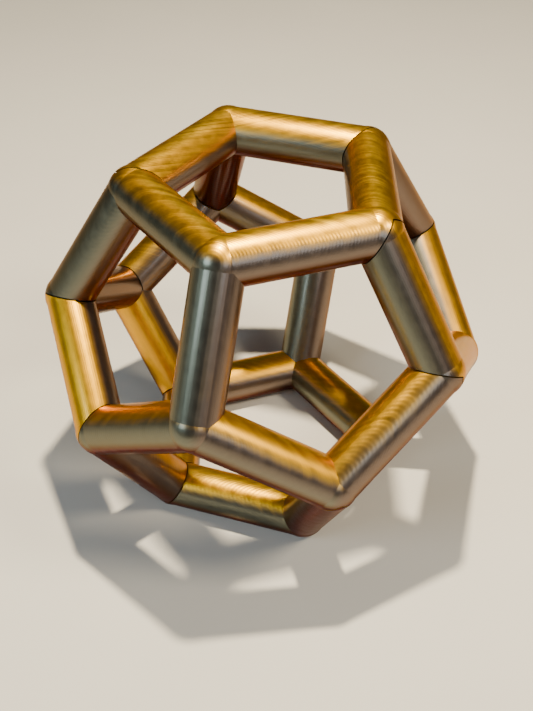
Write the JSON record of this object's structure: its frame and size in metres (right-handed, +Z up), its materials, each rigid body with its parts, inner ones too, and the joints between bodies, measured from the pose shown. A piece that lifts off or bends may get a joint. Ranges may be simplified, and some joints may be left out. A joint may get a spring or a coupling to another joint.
{
  "type": "dodecahedron frame puzzle",
  "caption": "Open dodecahedron frame of round bars that comes apart into interlocking pieces, split at mitred corners.",
  "frame": {"origin": "directly below the puzzle's centre, on the surface it stands on", "axes": "+Z up; the picture looks along +Y from above, with +X to the right"},
  "size_m": [0.1114, 0.1066, 0.0925],
  "materials": {
    "front_frame": "silk two-tone printed plastic",
    "rear_frame": "silk two-tone printed plastic",
    "top_branch": "silk two-tone printed plastic",
    "bottom_branch": "silk two-tone printed plastic",
    "right_link": "silk two-tone printed plastic",
    "left_link": "silk two-tone printed plastic"
  },
  "bodies": {
    "rear_frame": {"rear_frame": "rear_frame"},
    "front_frame": {"front_frame": "front_frame"},
    "top_branch": {"top_branch": "top_branch"},
    "bottom_branch": {"bottom_branch": "bottom_branch"},
    "right_link": {"right_link": "right_link"},
    "left_link": {"left_link": "left_link"}
  },
  "joints": [
    {"name": "front_frame_draw", "type": "slide", "parent": "rear_frame", "child": "front_frame", "axis": [-0.2629, -0.809, 0.5257], "range_m": [0, 0.07]},
    {"name": "top_branch_draw", "type": "slide", "parent": "rear_frame", "child": "top_branch", "axis": [-0.1876, 0.5774, 0.7947], "range_m": [0, 0.06]},
    {"name": "bottom_branch_draw", "type": "slide", "parent": "rear_frame", "child": "bottom_branch", "axis": [0.1876, -0.5774, -0.7947], "range_m": [0, 0.06]},
    {"name": "right_link_draw", "type": "slide", "parent": "rear_frame", "child": "right_link", "axis": [0.9511, -0.309, 0], "range_m": [0, 0.07]},
    {"name": "left_link_draw", "type": "slide", "parent": "rear_frame", "child": "left_link", "axis": [-0.9511, 0.309, 0], "range_m": [0, 0.07]}
  ],
  "couplings": [
    {"joint": "right_link_draw", "follows": "front_frame_draw", "ratio": 1},
    {"joint": "left_link_draw", "follows": "front_frame_draw", "ratio": 1}
  ]
}
